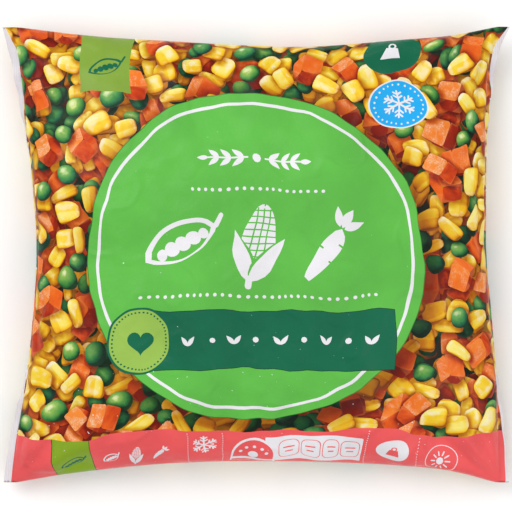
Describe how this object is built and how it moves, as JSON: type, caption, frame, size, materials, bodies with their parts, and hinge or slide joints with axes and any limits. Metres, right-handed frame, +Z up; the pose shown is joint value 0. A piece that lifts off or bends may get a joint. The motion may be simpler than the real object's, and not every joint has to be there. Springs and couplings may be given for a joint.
{
  "type": "frozen vegetable bag",
  "caption": "Filled pillow bag of printed film for frozen mixed vegetables, lying on its back, with folded long edges, welded sides and pointed corners.",
  "frame": {"origin": "under the middle of the bag's bounding box, on the surface that the bag lies on", "axes": "+X to the right of the print, from weld to weld; +Y towards the top of the print; +Z up, out of the printed face"},
  "size_m": [0.265, 0.239, 0.047],
  "materials": {
    "printed_film": "satin printed polythene film"
  },
  "bodies": {
    "root": {"vegetable_bag": "printed_film"}
  },
  "joints": []
}
